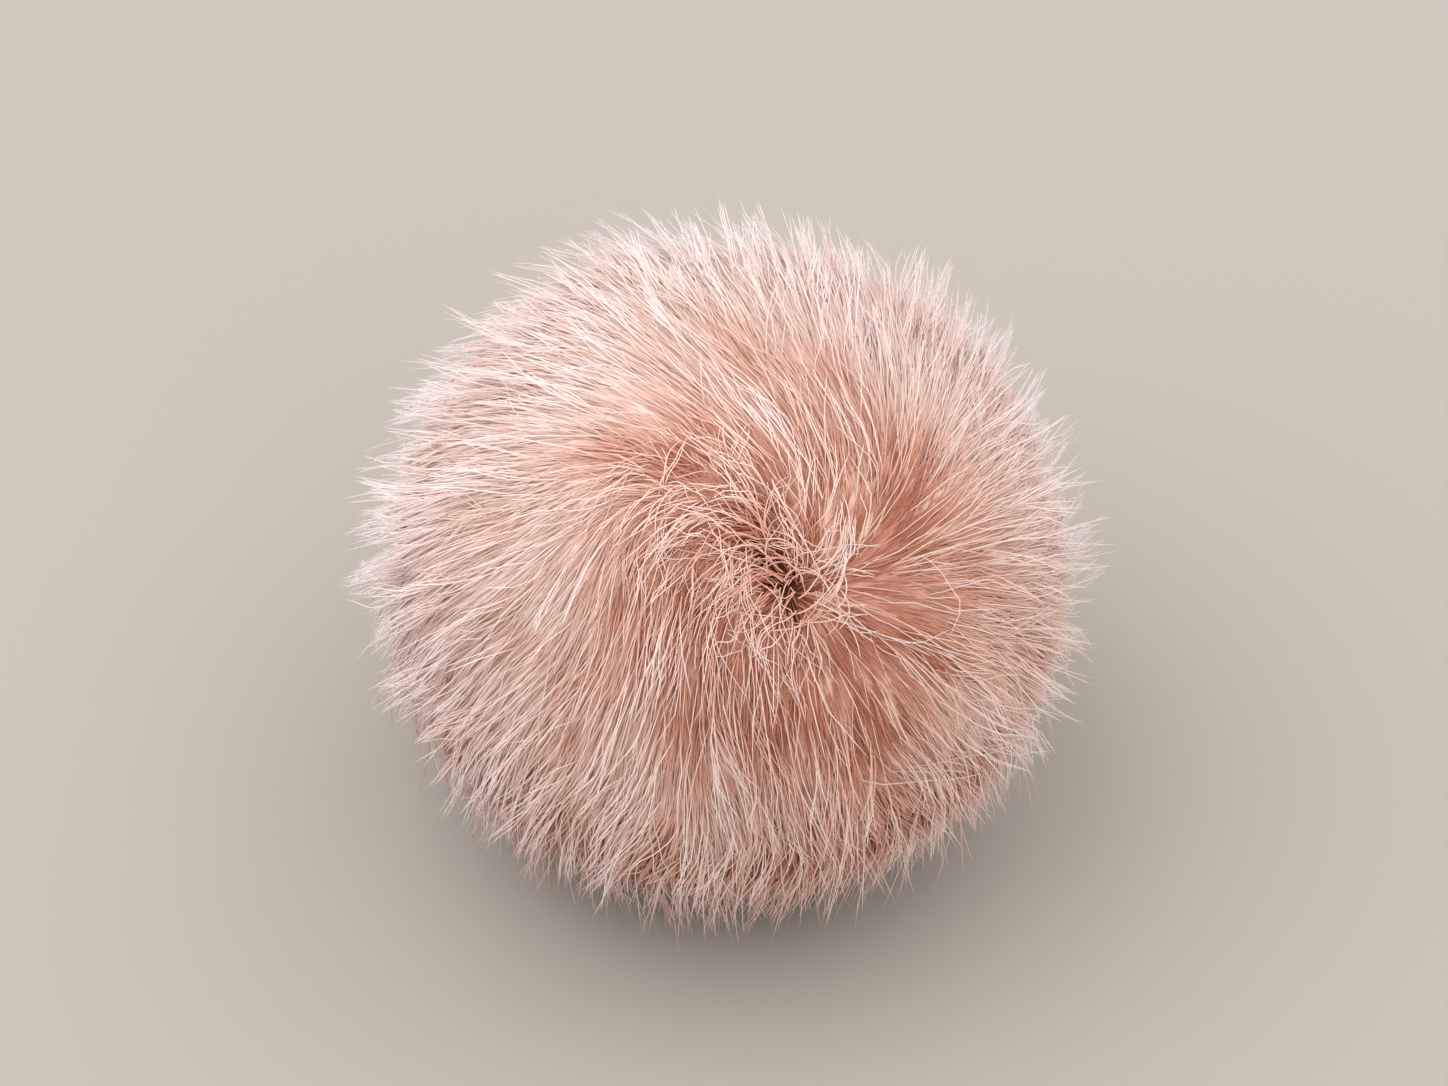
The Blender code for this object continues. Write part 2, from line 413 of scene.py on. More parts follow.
def grow_locks(dice):
    """The locks of the whole ball."""
    rays = scattered(dice, spread_rays(LOCKS.count), LOCKS.scatter)
    turn = dice.normal(0, LOCKS.turn, LOCKS.count) * ruffle(rays)
    reach = dice.uniform(*LOCKS.reach, LOCKS.count) * freedom(rays)
    tip = tip_shares(dice, LOCKS)
    paths = grow(rays, reach, tip, dice.uniform(*LOCKS.lift, LOCKS.count), turn)
    return Locks(rays, paths, turn, dice.normal(*LOCKS.tint, LOCKS.count))


def gathered(dice, rays, paths, lock_paths, most):
    """Paths drawn towards their locks' paths, at their own distances from the ball's centre."""
    share = np.linspace(0, 1, SAMPLES)[None, :, None]
    pull = most * dice.uniform(*GATHER_SPREAD, len(rays)) * (1 - tangle(rays))
    level = np.linalg.norm(paths, axis=-1, keepdims=True)
    return unit(paths + (lock_paths - paths) * share ** GATHER_CURVE * pull[:, None, None]) * level


def grow_tufts(dice, growth, locks):
    """Combed tufts all over the ball, each gathered to the lock that it belongs to."""
    rays = scattered(dice, spread_rays(growth.count), growth.scatter)
    lock = (rays @ locks.rays.T).argmax(axis=1)
    loose = tangle(rays)
    stray = dice.normal(size=growth.count) * (growth.turn * ruffle(rays) + TANGLE_TURN * loose)
    turn = locks.turn[lock] * growth.follow + stray
    reach = dice.uniform(*growth.reach, growth.count) * freedom(rays)
    tip = tip_shares(dice, growth)
    paths = grow(rays, reach, tip, dice.uniform(*growth.lift, growth.count), turn)
    paths = gathered(dice, rays, paths, locks.paths[lock], growth.gather * ruffle(rays))
    fullness = (1 - gradual(growth.thinning, lowness(rays))) * (1 - growth.loose_thinning * loose)
    fullness *= 1 - growth.patch_thinning * near(rays, SOFT_PATCH)
    return Tufts(rays, paths, locks.tint[lock], fullness)


def grow_free(dice, growth, rays, drop=0.0):
    """The paths of tufts that gather to no lock. drop is how much lower their tips are."""
    reach = dice.uniform(*growth.reach, growth.count)
    tip = tip_shares(dice, growth) - drop
    turn = dice.normal(0, growth.turn, growth.count)
    lift = dice.uniform(*growth.lift, growth.count)
    return grow(rays, reach, tip, lift, turn, dice.normal(0, growth.curl, growth.count))


def grow_wisps(dice):
    """Wisps that stand out of the coat and end in a point."""
    rays = scattered(dice, spread_rays(WISPS.count), WISPS.scatter)
    drop = LOOSE_WISP_DROP * tangle(rays) + gradual(LOW_WISP_DROP, lowness(rays))
    paths = grow_free(dice, WISPS, rays, drop)
    polar, _ = whorl_angles(rays)
    fullness = 1 - gradual(WISPS.thinning, lowness(rays))
    fullness *= 1 - WISPS.patch_thinning * near(rays, SOFT_PATCH)
    fullness *= LEAST_WISPS + gradual(WISPS_AWAY, np.degrees(polar))
    return Tufts(rays, paths, dice.normal(*WISPS.tint, WISPS.count), fullness)


def grow_fringe(dice):
    """Long tufts rooted on the ball's lower half, which hang down towards the floor."""
    height = dice.uniform(*FRINGE_HEIGHTS, FRINGE.count)
    rays = level_rays(height, dice.uniform(0, math.tau, FRINGE.count))
    paths = grow_free(dice, FRINGE, rays)
    return Tufts(rays, paths, dice.normal(*FRINGE.tint, FRINGE.count), np.ones(FRINGE.count))


def grow_tangle(dice):
    """Short tufts that cross each other along the parting and at the whorl, over its dips."""
    along = dice.uniform(0, 1, TANGLE.count) ** TANGLE_CROWDING
    where = (along * (len(PARTING_RAYS) - 1)).astype(int)
    rays = scattered(dice, PARTING_RAYS[where], TANGLE.scatter)
    reach = dice.uniform(*TANGLE.reach, TANGLE.count)
    tip = tip_shares(dice, TANGLE)
    turn = dice.normal(0, TANGLE.turn, TANGLE.count)
    curl = dice.normal(0, TANGLE.curl, TANGLE.count)
    lift = dice.uniform(*TANGLE.lift, TANGLE.count)
    paths = grow(rays, reach, tip, lift, turn, curl, sunk=TANGLE_SUNK)
    return Tufts(rays, paths, dice.normal(*TANGLE.tint, TANGLE.count), np.ones(TANGLE.count))


def grow_strays(dice):
    """Long fine hairs that lie across the others."""
    rays = scattered(dice, spread_rays(STRAYS.count), STRAYS.scatter)
    paths = grow_free(dice, STRAYS, rays)
    fullness = 1 - gradual(STRAYS.thinning, lowness(rays))
    return Tufts(rays, paths, np.full(STRAYS.count, STRAYS.tint[0]), fullness)


# --- Coats of hair -------------------------------------------------------------------------------
# A coat's hairs. Pairs are the limits of even draws, except v_range, which is the part of
# the hair colours that it uses, from root to tip. Lengths are in metres.
# - pieces, count, rings: its pieces, the hairs of each, and the rings of corners of each hair
# - stretch: how much of their tuft's path hairs follow
# - spread, closing: how far apart they are at their roots, and how much closer at their tips
# - wave: how far they sway about their path
# - tint, fade: their tint, and how much it differs from the rosiest to the palest hair, whose paleness is
#   partly painted light
# - shift: how much further along their colours pale hairs are than rosy ones, painted light included
Coat = namedtuple(
    "Coat", "name pieces count rings stretch spread closing wave thickness tint fade shift v_range")
UNDER_HAIR = Coat(
    name="under_hair", pieces=3, count=15000, rings=2, stretch=(0.50, 0.80), spread=0.0006,
    closing=(0.0, 0.6), wave=0.0003, thickness=(0.00010, 0.00016),
    tint=0.50, fade=0.75, shift=1.00, v_range=(0.14, 0.82))
GUARD_HAIR = Coat(
    name="guard_hair", pieces=1, count=7000, rings=5, stretch=(0.70, 1.05), spread=0.0012,
    closing=(0.0, 0.7), wave=0.0006, thickness=(0.00010, 0.00016),
    tint=0.74, fade=0.10, shift=0.10, v_range=(0.18, 0.95))
WISP_HAIR = Coat(
    name="wisp_hair", pieces=1, count=8400, rings=4, stretch=(0.75, 1.0), spread=0.0007,
    closing=(0.6, 1.0), wave=0.0004, thickness=(0.00010, 0.00016),
    tint=0.80, fade=0.25, shift=0.15, v_range=(0.20, 1.0))
FRINGE_HAIR = Coat(
    name="fringe_hair", pieces=1, count=3600, rings=4, stretch=(0.75, 1.0), spread=0.0008,
    closing=(0.5, 1.0), wave=0.0006, thickness=(0.00010, 0.00016),
    tint=0.60, fade=0.30, shift=0.10, v_range=(0.10, 0.95))
TANGLED_HAIR = Coat(
    name="tangled_hair", pieces=1, count=340, rings=8, stretch=(0.7, 1.0), spread=0.0009,
    closing=(0.3, 1.0), wave=0.0004, thickness=(0.00011, 0.00017),
    tint=1.0, fade=0.10, shift=0.0, v_range=(0.40, 1.0))
STRAY_HAIR = Coat(
    name="stray_hair", pieces=1, count=350, rings=7, stretch=(0.7, 1.0), spread=0.0004,
    closing=(0.0, 0.5), wave=0.0008, thickness=(0.00010, 0.00015),
    tint=0.80, fade=0.30, shift=0.0, v_range=(0.40, 1.0))

HIDDEN = 0.06              # of a path's length lies under the undercoat, and isn't made
LEAST_ROOM = 0.3           # tufts with less of their path above the floor grow no hair
FLOOR_STOP = (0.85, 1.0)   # hair that would meet the floor ends at this share of the way
CLOSING_CURVE = 1.3        # above 1, a tuft's hairs close mostly near their tips
WAVE_TURNS = (0.7, 1.7)    # the waves along a hair
WAVE_SIZES = (0.2, 1.0)
WAVE_CURVE = 0.5           # below 1, a hair waves soon after its root


def room_above_floor(paths):
    """How much of each path runs above the floor, as a share of its length."""
    height = paths[..., 2] + CENTRE_HEIGHT - FLOOR_GAP
    under = height < 0
    first = np.where(under.any(axis=1), under.argmax(axis=1), SAMPLES - 1)
    before = np.maximum(first - 1, 0)
    rows = np.arange(len(paths))
    drop = height[rows, before] - height[rows, first]
    part = np.clip(height[rows, before] / np.maximum(drop, TINY), 0.0, 1.0)
    return np.where(first > 0, (before + part) / (SAMPLES - 1), 0.0)


def resample(paths, owner, stretch, rings):
    """Points at even steps along each owner's path, up to its stretch of it."""
    at = (HIDDEN + np.linspace(0, 1, rings)[None, :] * (stretch[:, None] - HIDDEN)) * (SAMPLES - 1)
    low = np.minimum(at.astype(int), SAMPLES - 2)
    part = (at - low)[..., None]
    rows = owner[:, None]
    return paths[rows, low] * (1 - part) + paths[rows, low + 1] * part


def hair_lines(dice, tufts, coat):
    """Centre lines of a coat's hairs, and the tuft of each: (count, rings, 3), (count,)."""
    count = coat.count
    room = room_above_floor(tufts.paths)
    chance = tufts.fullness * (room > LEAST_ROOM)
    owner = dice.choice(len(tufts.rays), size=count, p=chance / chance.sum())
    stretch = dice.uniform(*coat.stretch, count)
    stretch = np.minimum(stretch, room[owner] * dice.uniform(*FLOOR_STOP, count))
    lines = resample(tufts.paths, owner, stretch, coat.rings)
    out = unit(lines[:, 0])
    share = np.linspace(0, 1, coat.rings)[None, :, None]
    beside = unit(np.cross(out, dice.normal(size=(count, 3))))
    beside *= np.abs(dice.normal(0, coat.spread, (count, 1)))
    closing = dice.uniform(*coat.closing, (count, 1, 1))
    lines = lines + beside[:, None, :] * (1 - closing * share ** CLOSING_CURVE)
    for turns in WAVE_TURNS:
        side = unit(np.cross(out, dice.normal(size=(count, 3))))[:, None, :]
        phase = dice.uniform(0, math.tau, (count, 1, 1))
        size = dice.uniform(*WAVE_SIZES, (count, 1, 1)) * coat.wave / turns
        wave = np.sin(math.tau * turns * share + phase) - np.sin(phase)
        lines = lines + side * size * wave * share ** WAVE_CURVE
    lines = lines + CENTRE
    lowest = FLOOR_GAP + dice.uniform(0, FLOOR_PILE, (count, 1))
    lines[..., 2] = np.maximum(lines[..., 2], lowest)
    return lines, owner


SIDES = 3
TAPER = 0.65               # how much thinner the last ring is than the first
POINT = 0.45               # the point beyond the last ring, as a share of the last step
SOFTNESS = 0.7             # how far a hair's normals lean from its own tube's to the ball's
# Painted shade: hair deep in the coat takes darker, rosier colours, as if shaded by the hair over it, and
# hair at the coat's outside takes paler ones
DEEP_SHARE = 0.945         # hair this deep, as a share of the even radius, has its root's colour
PALE_SHARE = 1.04          # and from here out it has its tip's
PAINTED_DEPTH_SHADE_PART = 0.75         # how much of a hair's colour comes from that, and not its own length
FULL_PLACE = 1.05          # the place along its colours at which a hair reaches the last one

# In the hairs' UV map a hair's tint sets where along u it starts
UV_STEP = 0.004            # the width of a side, and the least length of a step
FIRST_U = 0.02
TINT_WIDTH = 0.94


def tube_faces(rings):
    """One hair's faces, as corner lists: the tube's quads, then its tip's and root's triangles."""
    quads = []
    for ring in range(rings - 1):
        low, high = ring * SIDES, (ring + 1) * SIDES
        for side in range(SIDES):
            following = (side + 1) % SIDES
            quads.append((low + side, low + following, high + following, high + side))
    last = (rings - 1) * SIDES
    triangles = [(last + side, last + (side + 1) % SIDES, rings * SIDES) for side in range(SIDES)]
    triangles.append((0, 2, 1))
    return np.array(quads), np.array(triangles)


def tube_uvs(rings, v):
    """The same faces' UV corners for every hair, at the first tint. v has its rings' places."""
    # A corner here is its u, its ring, and how far past that ring's v it is
    quads, triangles = [], []
    for ring in range(rings - 1):
        for side in range(SIDES):
            left, right = side * UV_STEP, (side + 1) * UV_STEP
            quads.append(((left, ring, 0), (right, ring, 0), (right, ring + 1, 0), (left, ring + 1, 0)))
    for side in range(SIDES):
        left, right = side * UV_STEP, (side + 1) * UV_STEP
        triangles.append(((left, rings - 1, 0), (right, rings - 1, 0), ((left + right) / 2, rings, 0)))
    triangles.append(((0, 0, 0), (UV_STEP, 0, 0), (UV_STEP, 0, UV_STEP)))

    def corners(faces):
        table = np.array(faces, dtype=float).reshape(-1, 3)
        ring = table[:, 1].astype(int)
        u = np.broadcast_to(table[:, 0], (len(v), len(table)))
        return np.stack([u, v[:, ring] + table[:, 2]], axis=-1)

    return corners(quads), corners(triangles)


def ring_places(lines, v_range, shift):
    """Each ring's v place, and the tip's: it grows along the hair, and with its height in the coat as
    painted shade, darker deep in the coat and in its dips.
    """
    rays = unit(lines - CENTRE)
    level = np.linalg.norm(lines - CENTRE, axis=-1) / even_radius(rays)
    height = np.clip((level - DEEP_SHARE) / (PALE_SHARE - DEEP_SHARE), 0, 1)
    rings = lines.shape[1]
    along = np.linspace(0, 1, rings + 1)[None, :]
    place = PAINTED_DEPTH_SHADE_PART * np.concatenate([height, height[:, -1:]], axis=1) + (1 - PAINTED_DEPTH_SHADE_PART) * along
    place = place + shift[:, None]
    place = np.maximum.accumulate(place, axis=1) + along * UV_STEP * rings
    return v_range[0] + (v_range[1] - v_range[0]) * np.clip(place, 0, FULL_PLACE) / FULL_PLACE


def tube_points(lines, thickness):
    """The corners of every hair's rings, and its tip: (count, rings * SIDES + 1, 3)."""
    count, rings, _ = lines.shape
    heading = unit(np.gradient(lines, axis=1))
    across = unit(np.cross(heading, unit(lines[:, :1] - CENTRE)))
    other = np.cross(heading, across)
    share = np.linspace(0, 1, rings + 1)[:-1]
    radius = (thickness[:, None] / 2 * (1 - TAPER * share ** 2))[..., None]
    corners = [
        lines + (across * math.cos(angle) + other * math.sin(angle)) * radius
        for angle in math.tau * np.arange(SIDES) / SIDES]
    around = np.stack(corners, axis=2).reshape(count, rings * SIDES, 3)
    step = np.linalg.norm(lines[:, -1] - lines[:, -2], axis=-1)[:, None]
    tips = lines[:, -1] + heading[:, -1] * step * POINT
    tips[:, 2] = np.maximum(tips[:, 2], FLOOR_GAP)
    return np.concatenate([around, tips[:, None]], axis=1)


def soft_normals(lines, points):
    """Normals for every hair's corners, part its tube's and part the ball's."""
    count, rings, _ = lines.shape
    tubes = points[:, :-1].reshape(count, rings, SIDES, 3)
    normals = unit(tubes - tubes.mean(axis=2, keepdims=True)).reshape(count, rings * SIDES, 3)
    normals = np.concatenate([normals, unit(lines[:, -1:] - CENTRE)], axis=1)
    return unit(normals * (1 - SOFTNESS) + unit(points - CENTRE) * SOFTNESS)


def hair_mesh(name, lines, thickness, tint, places):
    """One mesh of closed, tapering hairs. Its UV map holds each hair's tint and its rings' places."""
    count, rings, _ = lines.shape
    points = tube_points(lines, thickness)
    quads, triangles = tube_faces(rings)
    starts = np.arange(count)[:, None, None] * points.shape[1]
    corners = np.concatenate([(quads + starts).ravel(), (triangles + starts).ravel()])
    quad_count, triangle_count = count * len(quads), count * len(triangles)
    face_starts = np.concatenate([
        np.arange(quad_count) * 4, quad_count * 4 + np.arange(triangle_count) * 3])
    mesh = bpy.data.meshes.new(name)
    mesh.vertices.add(count * points.shape[1])
    mesh.vertices.foreach_set("co", points.astype(np.float32).ravel())
    mesh.loops.add(len(corners))
    mesh.loops.foreach_set("vertex_index", corners.astype(np.int32))
    mesh.polygons.add(len(face_starts))
    mesh.polygons.foreach_set("loop_start", face_starts.astype(np.int32))
    mesh.update(calc_edges=True)
    mesh.shade_smooth()
    mesh.normals_split_custom_set_from_vertices(soft_normals(lines, points).reshape(-1, 3).tolist())
    quad_uvs, triangle_uvs = tube_uvs(rings, places)
    aside = np.zeros((count, 1, 2))
    aside[:, 0, 0] = FIRST_U + TINT_WIDTH * np.clip(tint, 0, 1)
    uvs = np.concatenate([(quad_uvs + aside).reshape(-1, 2), (triangle_uvs + aside).reshape(-1, 2)])
    mesh.uv_layers.new(name="OFBake").uv.foreach_set("vector", uvs.astype(np.float32).ravel())
    return mesh


# --- Materials --------------------------------------------------------------------------------
# A hair's colours from root to tip, which also stand for painted shade deep in the coat, and what they are
# multiplied by, from no tint to full
HAIR_COLOURS = (
    (0.0, (0.34, 0.11, 0.07)),
    (0.25, (0.71, 0.40, 0.31)),
    (0.5, (0.84, 0.59, 0.515)),
    (0.75, (0.88, 0.715, 0.665)),
    (1.0, (0.905, 0.81, 0.81)),
)
HAIR_TINTS = (
    (0.0, (0.86, 0.66, 0.60)),
    (0.5, (0.95, 0.85, 0.82)),
    (1.0, (1.0, 0.985, 0.975)),
)
HAIR_ROUGHNESS = 0.55
HAIR_SHINE = 0.08

# The undercoat's colours, from the deepest to the highest; its darkest end shows where its painted shade is
# deepest
UNDERCOAT_COLOURS = (
    (0.0, (0.02, 0.005, 0.003)),
    (0.30, (0.30, 0.105, 0.065)),
    (0.55, (0.64, 0.32, 0.235)),
    (0.80, (0.85, 0.58, 0.49)),
    (1.0, (0.91, 0.73, 0.665)),
)
UNDERCOAT_ROUGHNESS = 0.85
UNDERCOAT_SHINE = 0.05
COMB_DETAIL = 2.0
COMB_GRAIN = 0.65
COMB_BUMP = 0.4
COMB_BUMP_HEIGHT = 0.0003

# A mix node's sockets for colours: they have the same names as the ones for numbers
MIX_FIRST_COLOUR = 6
MIX_SECOND_COLOUR = 7
MIX_COLOUR_RESULT = 2


def ramp(nodes, stops):
    """A colour ramp with the given (place, colour) stops."""
    node = nodes.new("ShaderNodeValToRGB")
    first, last = node.color_ramp.elements
    first.position, first.color = stops[0][0], (*stops[0][1], 1)
    last.position, last.color = stops[-1][0], (*stops[-1][1], 1)
    for place, colour in stops[1:-1]:
        node.color_ramp.elements.new(place).color = (*colour, 1)
    return node


def new_material(name, roughness, shine):
    """A material with its finish set: itself, its nodes, its links and its shader."""
    material = bpy.data.materials.new(name)
    material.use_nodes = True
    surface = material.node_tree.nodes["Principled BSDF"]
    surface.inputs["Roughness"].default_value = roughness
    surface.inputs["Specular IOR Level"].default_value = shine
    return material, material.node_tree.nodes, material.node_tree.links, surface


def hair_material(name):
    """Hair, rosy at the root and pale at the tip, with painted shade deep in the coat, and a tint from its u
    place.
    """
    material, nodes, links, surface = new_material(name, HAIR_ROUGHNESS, HAIR_SHINE)
    place = nodes.new("ShaderNodeUVMap")
    place.uv_map = "OFBake"
    split = nodes.new("ShaderNodeSeparateXYZ")
    links.new(place.outputs["UV"], split.inputs["Vector"])
    length = ramp(nodes, HAIR_COLOURS)
    links.new(split.outputs["Y"], length.inputs["Fac"])
    tint = ramp(nodes, HAIR_TINTS)
    links.new(split.outputs["X"], tint.inputs["Fac"])
    blend = nodes.new("ShaderNodeMix")
    blend.data_type = "RGBA"
    blend.blend_type = "MULTIPLY"
    blend.inputs["Factor"].default_value = 1.0
    links.new(length.outputs["Color"], blend.inputs[MIX_FIRST_COLOUR])
    links.new(tint.outputs["Color"], blend.inputs[MIX_SECOND_COLOUR])
    links.new(blend.outputs[MIX_COLOUR_RESULT], surface.inputs["Base Color"])
    return material


def line_noise(nodes, links, attribute):
    """Noise drawn out along the combed lines, at an attribute's places, which set its scale."""
    place = nodes.new("ShaderNodeAttribute")
    place.attribute_name = attribute
    noise = nodes.new("ShaderNodeTexNoise")
    noise.inputs["Scale"].default_value = 1.0
    noise.inputs["Detail"].default_value = COMB_DETAIL
    noise.inputs["Roughness"].default_value = COMB_GRAIN
    links.new(place.outputs["Vector"], noise.inputs["Vector"])
    return noise.outputs["Fac"]


def undercoat_material():
    """The dense short coat under the hair, combed into fine lines, darkened by painted shade in its furrows,
    dips, tangle and underside, with painted light on its pale parts.
    """
    material, nodes, links, surface = new_material("undercoat", UNDERCOAT_ROUGHNESS, UNDERCOAT_SHINE)
    share = nodes.new("ShaderNodeAttribute")
    share.attribute_name = "odd_share"
    combed = nodes.new("ShaderNodeMix")
    links.new(share.outputs["Fac"], combed.inputs["Factor"])
    links.new(line_noise(nodes, links, "even_lines"), combed.inputs["A"])
    links.new(line_noise(nodes, links, "odd_lines"), combed.inputs["B"])
    tone = nodes.new("ShaderNodeAttribute")
    tone.attribute_name = "tone"
    total = nodes.new("ShaderNodeMath")
    total.operation = "ADD"
    links.new(combed.outputs["Result"], total.inputs[0])
    links.new(tone.outputs["Fac"], total.inputs[1])
    colour = ramp(nodes, UNDERCOAT_COLOURS)
    links.new(total.outputs[0], colour.inputs["Fac"])
    links.new(colour.outputs["Color"], surface.inputs["Base Color"])
    bump = nodes.new("ShaderNodeBump")
    bump.inputs["Strength"].default_value = COMB_BUMP
    bump.inputs["Distance"].default_value = COMB_BUMP_HEIGHT
    links.new(combed.outputs["Result"], bump.inputs["Height"])
    links.new(bump.outputs["Normal"], surface.inputs["Normal"])
    return material


# --- Combed lines and streaks --------------------------------------------------------------------
# Both follow the flow back to a small ring round the whorl
COMB_START = math.radians(5.0)     # the ring's angle from the whorl
COMB_STEP = math.radians(2.5)
COMB_LEAST_STEP = 1e-3     # radians
COMB_NEAR = 1e-4           # and this near to the ring a line has reached it
COMB_PITCH = 0.0003        # about how far apart the lines are
COMB_LENGTH = 0.0080       # and how long
COMB_OFFSET = 0.004        # to a second line, whose place shows how far the lines have spread
COMB_SPREADING = (0.4, 12.0)

STREAKS_ROUND = 32.0       # ripples of a streak's tone round the whorl, and along its length
STREAKS_ALONG = 11.0
STREAK_TONE = 0.09
PALE_STREAK_LOSS = 0.4     # how much fainter streaks are in the palest hair


def trace_back(rays):
    """The bearing at which each ray's line of hair leaves the whorl, and the line's length."""
    places, length = rays.copy(), np.zeros(len(rays))
    moving = np.arange(len(rays))
    while len(moving):
        polar, _ = whorl_angles(places[moving])
        to_go = polar - COMB_START
        moving, to_go = moving[to_go > COMB_NEAR], to_go[to_go > COMB_NEAR]
        step = np.clip(to_go, COMB_LEAST_STEP, COMB_STEP)
        places[moving] = unit(places[moving] - flow(places[moving]) * step[:, None])
        length[moving] += step
    return whorl_angles(places)[1], length


def streaks(rays):
    """Long streaks in the hair's tone, which run along its flow and widen with it."""
    bearing, length = trace_back(rays)
    around = np.stack([np.cos(bearing), np.sin(bearing)], axis=-1) * STREAKS_ROUND
    tone = STREAK_RIPPLES(np.concatenate([around, length[:, None] * STREAKS_ALONG], axis=-1))
    return STREAK_TONE * (1 - PALE_STREAK_LOSS * paleness_with_painted_light(rays)) * tone


def comb_places(rays):
    """Places in the line noise: an even set, an odd set, and how much the odd one shows.

    Lines spread as they run away from the whorl, so more have to start between them. Each
    set makes four times as many where only the other one shows.
    """
    bearing, length = trace_back(rays)
    across = np.cross(rays, flow(rays))
    beside, _ = trace_back(unit(rays + across * COMB_OFFSET))
    apart = np.abs((beside - bearing + math.pi) % math.tau - math.pi) / COMB_OFFSET
    wanted = np.log2(HALF_WIDTH / COMB_PITCH / np.clip(apart, *COMB_SPREADING))
    even = 2 * np.round(wanted / 2)
    odd = 2 * np.round((wanted - 1) / 2) + 1
    along = length * HALF_WIDTH / COMB_LENGTH
    even_lines, odd_lines = (
        np.stack([np.cos(bearing) * 2 ** level, np.sin(bearing) * 2 ** level, along], axis=-1)
        for level in (even, odd))
    return even_lines, odd_lines, np.abs(wanted - even)


# --- The undercoat -------------------------------------------------------------------------------
CORE_COLUMNS = 240         # its mesh runs in rings about the whorl's axis
CORE_BANDS = 80
CORE_SHARE = 0.967         # its radius, as a share of the dense radius
FURROW_DEPTH = 0.005       # how much less that is in its furrows
TANGLE_DEPTH = 0.05        # where the hair is tangled
UNDERSIDE_DEPTH = 0.03     # and under the ball
FURROW = Onset(start=1.6, end=4.2, most=1.0)           # by degrees from the locks' paths
UNDERSIDE = Onset(start=0.24, end=0.46, most=1.0)      # by lowness
LOWER_PART = Onset(start=-0.20, end=0.25, most=1.0)    # by lowness
RAY_LOTS = 24              # rays are compared with the locks in lots, to save memory

# The undercoat's tone, without its line noise: painted light where it is pale, and painted shade where shade
# falls, besides its streaks
CORE_TONE = 0.09
# paler on top and towards the rim: partly painted light, partly the coat's own paleness
PALE_AND_PAINTED_LIGHT_GAIN = 0.38
# painted shade in the furrows between the locks
FURROW_PAINTED_SHADE = 0.03
# painted shade on the ball's lower part
LOW_PAINTED_SHADE = 0.40
# painted shade in the dips, and painted light where a dip stands proud
DIP_PAINTED_SHADE_AND_LIGHT = 3.2             # for a dip as deep as the ball's radius
# painted shade at the whorl and along the parting, where the hair is tangled
TANGLE_PAINTED_SHADE = 0.32
# painted shade under the ball, where its contact shadow falls
UNDERSIDE_PAINTED_SHADE = 0.42


def add_piece(name, mesh, material):
    """A visible piece of the ball: it rides on the one body and takes the fur's finish."""
    mesh.materials.append(material)
    piece = bpy.data.objects.new(name, mesh)
    bpy.context.scene.collection.objects.link(piece)
    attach(piece, "root")
    return piece


def furrow(rays, locks):
    """0 on the locks' paths and 1 in the middle of the gaps between them."""
    lock_rays = unit(locks.paths.reshape(-1, 3))
    closeness = np.concatenate([(lot @ lock_rays.T).max(axis=1) for lot in np.array_split(rays, RAY_LOTS)])
    return gradual(FURROW, np.degrees(np.arccos(np.clip(closeness, -1.0, 1.0))))


def core_faces():
    """The undercoat's faces: triangles at the whorl and the far pole, and quads between."""
    faces = []
    last = 1 + (CORE_BANDS - 1) * CORE_COLUMNS
    for here in range(CORE_COLUMNS):
        following = (here + 1) % CORE_COLUMNS
        faces.append((0, 1 + following, 1 + here))
        for band in range(CORE_BANDS - 2):
            low, high = 1 + band * CORE_COLUMNS, 1 + (band + 1) * CORE_COLUMNS
            faces.append((low + here, low + following, high + following, high + here))
        low = 1 + (CORE_BANDS - 2) * CORE_COLUMNS
        faces.append((low + here, low + following, last))
    return faces


def core_rays():
    """Rays to the undercoat's corners: the whorl, ring after ring, and the far pole."""
    polar = math.pi * np.arange(1, CORE_BANDS) / CORE_BANDS
    column = math.tau * np.arange(CORE_COLUMNS) / CORE_COLUMNS
    polar, column = (grid.ravel() for grid in np.meshgrid(polar, column, indexing="ij"))
    return whorl_rays(np.concatenate([[0.0], polar, [math.pi]]), np.concatenate([[0.0], column, [0.0]]))


